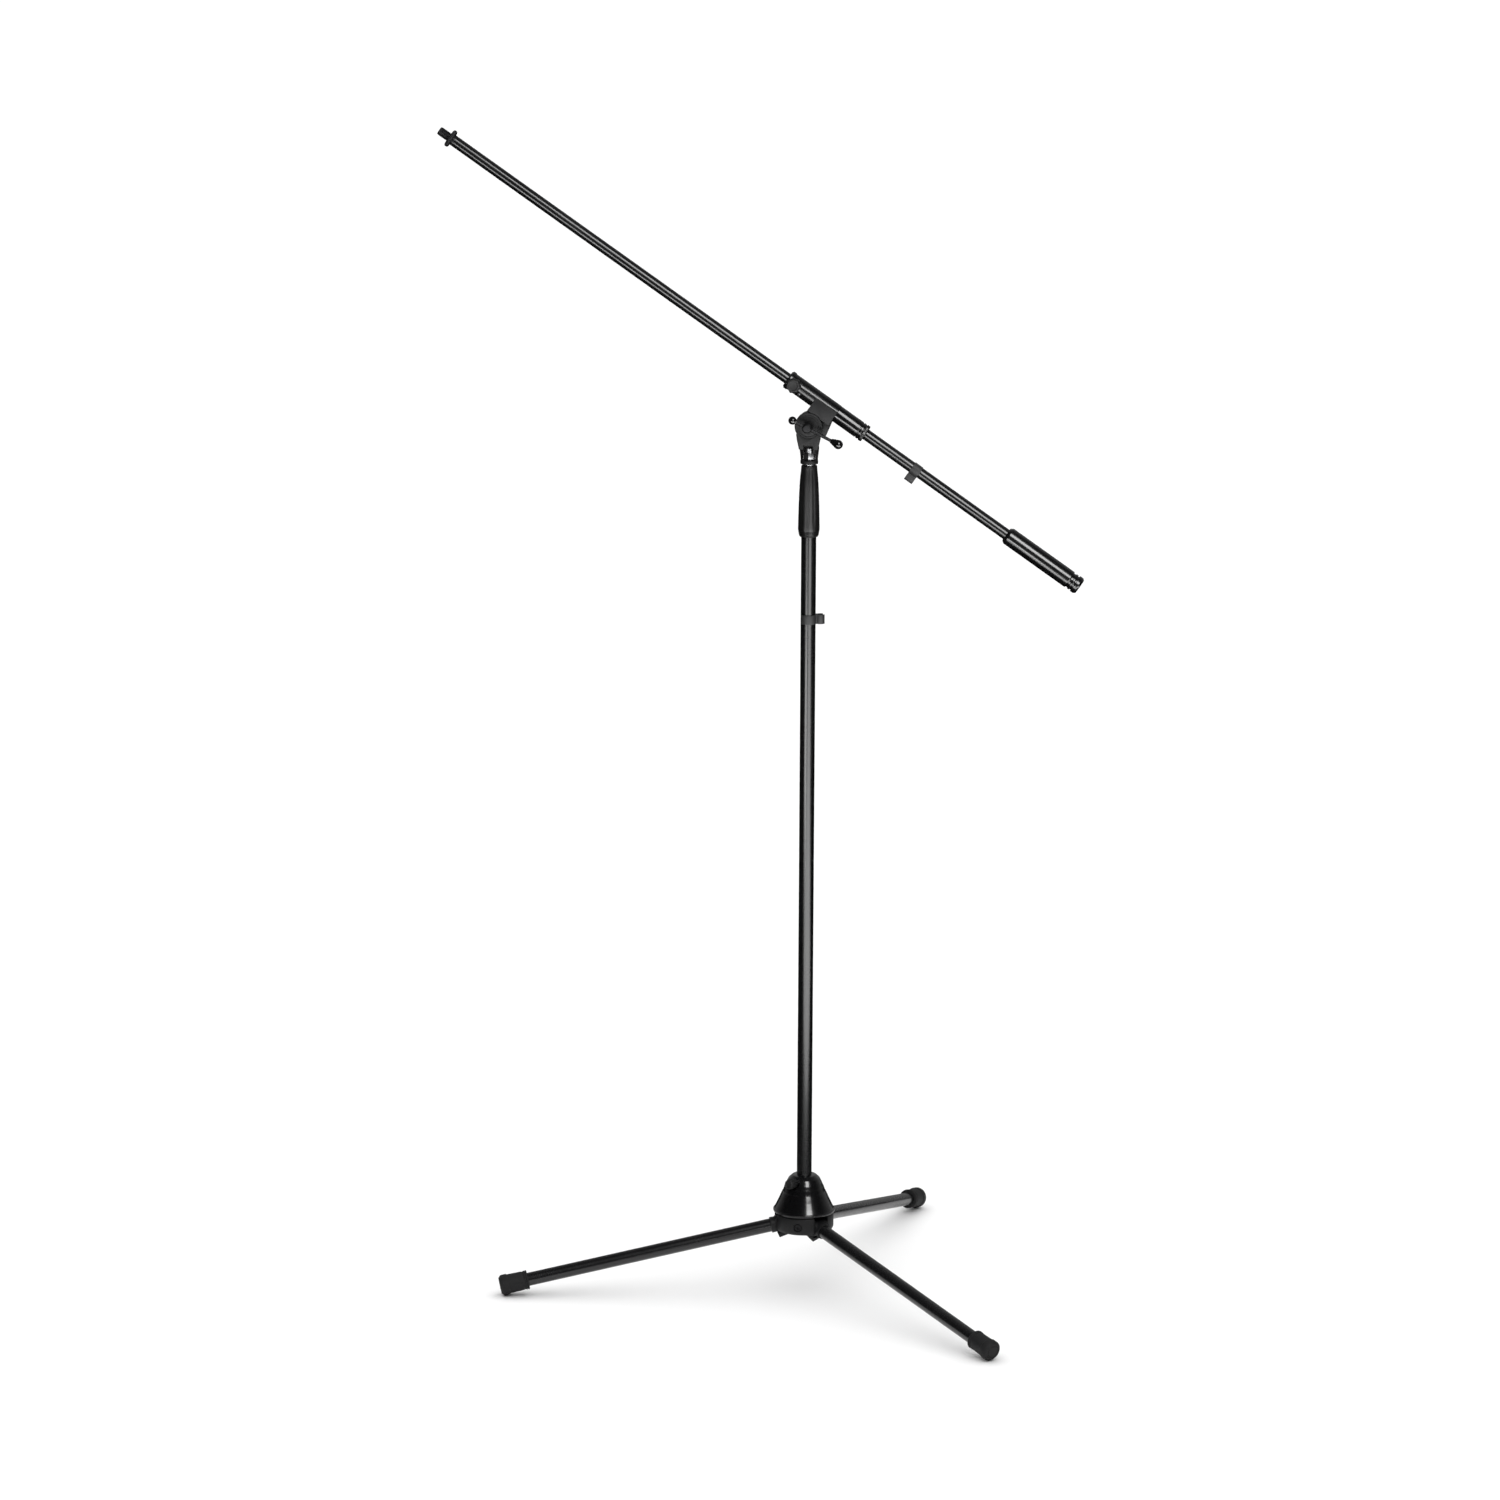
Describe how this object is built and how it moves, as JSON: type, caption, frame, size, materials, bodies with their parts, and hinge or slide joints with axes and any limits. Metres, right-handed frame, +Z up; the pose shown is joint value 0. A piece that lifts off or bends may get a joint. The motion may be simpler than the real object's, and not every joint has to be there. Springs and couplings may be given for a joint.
{
  "type": "boom microphone stand",
  "caption": "Black tripod microphone stand with folding legs, telescopic mast, tilt head and sliding boom with counterweight.",
  "frame": {"origin": "on the floor under the mast axis", "axes": "+Z up along the mast; the boom lies in the XZ plane with its long arm towards -X and its counterweight towards +X"},
  "size_m": [0.6764, 0.5492, 1.2279],
  "materials": {
    "black_tube": "satin black powder coat on steel tube",
    "gloss_black": "gloss black enamel on cast and turned metal",
    "cast_grey": "matte dark grey paint on zinc casting",
    "black_screw": "blackened steel",
    "steel": "nickel-plated steel",
    "knob_plastic": "matte moulded plastic",
    "clutch_plastic": "matte moulded plastic",
    "grip_plastic": "satin moulded grip",
    "ball_plastic": "glossy moulded plastic",
    "liner_plastic": "natural nylon",
    "clip_plastic": "matte moulded plastic",
    "sleeve_black": "gloss black coating",
    "washer_fibre": "vulcanised fibre",
    "foot_rubber": "matte black rubber"
  },
  "bodies": {
    "base": {"lower_tube": "black_tube", "leg_hub": "cast_grey", "hub_screw": "black_screw", "leg_pins": "steel", "clutch_base": "clutch_plastic"},
    "bell": {"base_bell": "gloss_black"},
    "bell_knob": {"bell_knob": "knob_plastic", "bell_screw": "steel"},
    "leg_1": {"leg_knuckle_1": "cast_grey", "leg_tube_1": "black_tube", "foot_1": "foot_rubber"},
    "leg_2": {"leg_knuckle_2": "cast_grey", "leg_tube_2": "black_tube", "foot_2": "foot_rubber"},
    "leg_3": {"leg_knuckle_3": "cast_grey", "leg_tube_3": "black_tube", "foot_3": "foot_rubber"},
    "clutch_grip": {"clutch_grip": "grip_plastic"},
    "clutch_collet": {"clutch_collet": "liner_plastic"},
    "mast": {"inner_tube": "black_tube", "inner_guide": "liner_plastic", "mast_stud": "steel", "stud_nut": "steel", "swivel_yoke": "cast_grey", "friction_washer": "washer_fibre"},
    "boom_clamp": {"boom_block": "cast_grey", "clamp_nut": "steel", "front_sleeve": "sleeve_black", "rear_sleeve": "sleeve_black", "sleeve_pin": "steel"},
    "tilt_screw": {"clamp_screw": "black_screw"},
    "tommy_bar": {"tommy_bar": "black_screw", "bar_ball": "ball_plastic", "bar_pear": "ball_plastic"},
    "boom_knob": {"boom_knob": "knob_plastic", "boom_screw": "steel"},
    "boom_liner": {"boom_bush": "liner_plastic"},
    "boom": {"boom_tube": "black_tube", "tip_stud": "black_screw", "counterweight": "gloss_black", "weight_cap": "gloss_black"},
    "lock_nut": {"lock_nut": "black_screw"},
    "boom_clip": {"boom_clip": "clip_plastic"},
    "mast_clip": {"mast_clip": "clip_plastic"}
  },
  "joints": [
    {"name": "bell_lift", "type": "slide", "parent": "base", "child": "bell", "axis": [0, 0, 1], "range_m": [0, 0.075]},
    {"name": "bell_knob_turn", "type": "hinge", "parent": "bell", "child": "bell_knob", "pos_m": [0, 0, 0.1175], "axis": [-0.515, -0.8572, 0], "range_deg": [0, 360]},
    {"name": "leg_1_fold", "type": "hinge", "parent": "base", "child": "leg_1", "pos_m": [-0.02415, -0.00647, 0.07057], "axis": [-0.2588, 0.9659, 0], "range_deg": [0, 89]},
    {"name": "leg_2_fold", "type": "hinge", "parent": "base", "child": "leg_2", "pos_m": [0.01768, -0.01768, 0.07057], "axis": [-0.7071, -0.7071, 0], "range_deg": [0, 89]},
    {"name": "leg_3_fold", "type": "hinge", "parent": "base", "child": "leg_3", "pos_m": [0.00647, 0.02415, 0.07057], "axis": [0.9659, -0.2588, 0], "range_deg": [0, 89]},
    {"name": "clutch_twist", "type": "hinge", "parent": "base", "child": "clutch_grip", "pos_m": [0, 0, 0.85], "axis": [0, 0, 1], "range_deg": [-60, 60]},
    {"name": "mast_swivel", "type": "hinge", "parent": "base", "child": "clutch_collet", "pos_m": [0, 0, 0.866], "axis": [0, 0, 1], "continuous": true},
    {"name": "mast_height", "type": "slide", "parent": "clutch_collet", "child": "mast", "axis": [0, 0, 1], "range_m": [0, 0.7]},
    {"name": "boom_tilt", "type": "hinge", "parent": "mast", "child": "boom_clamp", "pos_m": [0, 0, 0.9282], "axis": [0, 1, 0], "range_deg": [-110, 55]},
    {"name": "tilt_screw_turn", "type": "hinge", "parent": "mast", "child": "tilt_screw", "pos_m": [0, 0, 0.9282], "axis": [0, -1, 0], "range_deg": [-180, 100]},
    {"name": "tommy_bar_slide", "type": "slide", "parent": "tilt_screw", "child": "tommy_bar", "axis": [0.8965, 0, -0.4431], "range_m": [-0.02, 0.007]},
    {"name": "boom_knob_turn", "type": "hinge", "parent": "boom_clamp", "child": "boom_knob", "pos_m": [-0.01552, 0, 0.97093], "axis": [0.0491, -0.9962, 0.072], "range_deg": [0, 360]},
    {"name": "boom_roll", "type": "hinge", "parent": "boom_clamp", "child": "boom_liner", "pos_m": [0.01645, 0, 0.94912], "axis": [-0.8261, 0, 0.5635], "continuous": true},
    {"name": "boom_slide", "type": "slide", "parent": "boom_liner", "child": "boom", "axis": [-0.8261, 0, 0.5635], "range_m": [-0.41, 0.045]},
    {"name": "lock_nut_turn", "type": "hinge", "parent": "boom", "child": "lock_nut", "pos_m": [-0.37496, 0, 1.21612], "axis": [-0.8261, 0, 0.5635], "continuous": true},
    {"name": "boom_clip_slide", "type": "slide", "parent": "boom", "child": "boom_clip", "axis": [-0.8261, 0, 0.5635], "range_m": [-0.105, 0.01]},
    {"name": "mast_clip_slide", "type": "slide", "parent": "base", "child": "mast_clip", "axis": [0, 0, 1], "range_m": [-0.55, 0.07]}
  ],
  "couplings": [
    {"joint": "leg_1_fold", "follows": "bell_lift", "rad_per_m": 20.709},
    {"joint": "leg_2_fold", "follows": "bell_lift", "rad_per_m": 20.709},
    {"joint": "leg_3_fold", "follows": "bell_lift", "rad_per_m": 20.709}
  ]
}
